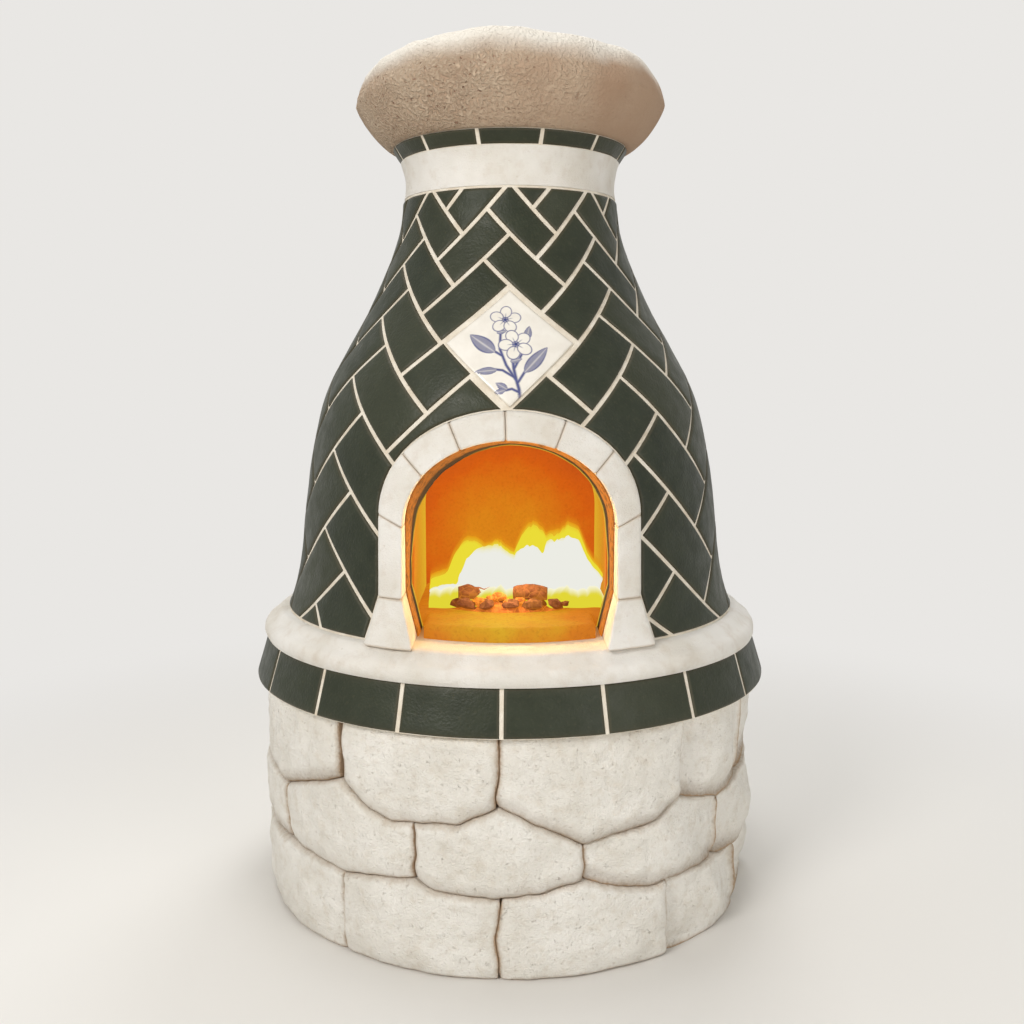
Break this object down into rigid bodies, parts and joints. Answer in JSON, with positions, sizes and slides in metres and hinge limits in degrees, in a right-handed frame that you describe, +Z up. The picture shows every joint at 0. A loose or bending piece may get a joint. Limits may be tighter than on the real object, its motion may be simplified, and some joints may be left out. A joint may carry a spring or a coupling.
{
  "type": "tiled stove",
  "caption": "Bell-shaped wood stove clad in green herringbone tiles on a round stone base, with an arched open firebox, a picture tile, a plaster crown and a butterfly damper.",
  "frame": {"origin": "middle of the stove's underside, where it stands on the floor", "axes": "+Z up, the fire mouth faces -Y, +X to the right of someone facing the fire"},
  "size_m": [1.024, 1.024, 1.6175],
  "materials": {
    "field_stone": "limewashed, rough",
    "mortar": "rough lime mortar",
    "lime_plaster": "trowelled lime plaster, matt",
    "green_glaze": "dark green glaze, satin",
    "white_glaze": "white glaze with a blue painted sprig",
    "refractory": "refractory concrete, matt",
    "firebrick": "firebrick, matt",
    "fired_clay": "unglazed fired clay",
    "cast_iron": "sooty black",
    "embers": "ash with glowing embers",
    "charred_wood": "charred"
  },
  "bodies": {
    "root": {"arch_foot_left": "lime_plaster", "arch_foot_right": "lime_plaster", "arch_jamb_left": "lime_plaster", "arch_jamb_right": "lime_plaster", "arch_voussoir_1": "lime_plaster", "arch_voussoir_2": "lime_plaster", "arch_voussoir_3": "lime_plaster", "arch_voussoir_4": "lime_plaster", "arch_voussoir_5": "lime_plaster", "arch_voussoir_6": "lime_plaster", "base_core": "mortar", "base_stone_1_1": "field_stone", "base_stone_1_2": "field_stone", "base_stone_1_3": "field_stone", "base_stone_1_4": "field_stone", "base_stone_1_5": "field_stone", "base_stone_1_6": "field_stone", "base_stone_1_7": "field_stone", "base_stone_1_8": "field_stone", "base_stone_1_9": "field_stone", "base_stone_2_1": "field_stone", "base_stone_2_2": "field_stone", "base_stone_2_3": "field_stone", "base_stone_2_4": "field_stone", "base_stone_2_5": "field_stone", "base_stone_2_6": "field_stone", "base_stone_2_7": "field_stone", "base_stone_2_8": "field_stone", "base_stone_2_9": "field_stone", "base_stone_3_1": "field_stone", "base_stone_3_2": "field_stone", "base_stone_3_3": "field_stone", "base_stone_3_4": "field_stone", "base_stone_3_5": "field_stone", "base_stone_3_6": "field_stone", "base_stone_3_7": "field_stone", "base_stone_3_8": "field_stone", "base_stone_3_9": "field_stone", "bell_shell": "refractory", "bell_tile_cladding": "green_glaze", "crown_cap": "lime_plaster", "ember_bed": "embers", "firebox_floor": "firebrick", "firebox_lining": "refractory", "firebox_throat_ring": "cast_iron", "firewood_1": "charred_wood", "firewood_2": "charred_wood", "firewood_3": "charred_wood", "firewood_4": "charred_wood", "firewood_5": "charred_wood", "flue_liner": "fired_clay", "hearth_shelf": "lime_plaster", "neck_collar": "lime_plaster", "neck_tile_band": "green_glaze", "picture_tile": "white_glaze", "shelf_tile_band": "green_glaze"},
    "damper": {"damper_plate": "cast_iron", "damper_spindle": "cast_iron", "damper_handle": "cast_iron"}
  },
  "joints": [
    {"name": "damper_turn", "type": "hinge", "parent": "root", "child": "damper", "pos_m": [0, 0, 1.3884], "axis": [0, 1, 0], "range_deg": [0, 90]}
  ]
}
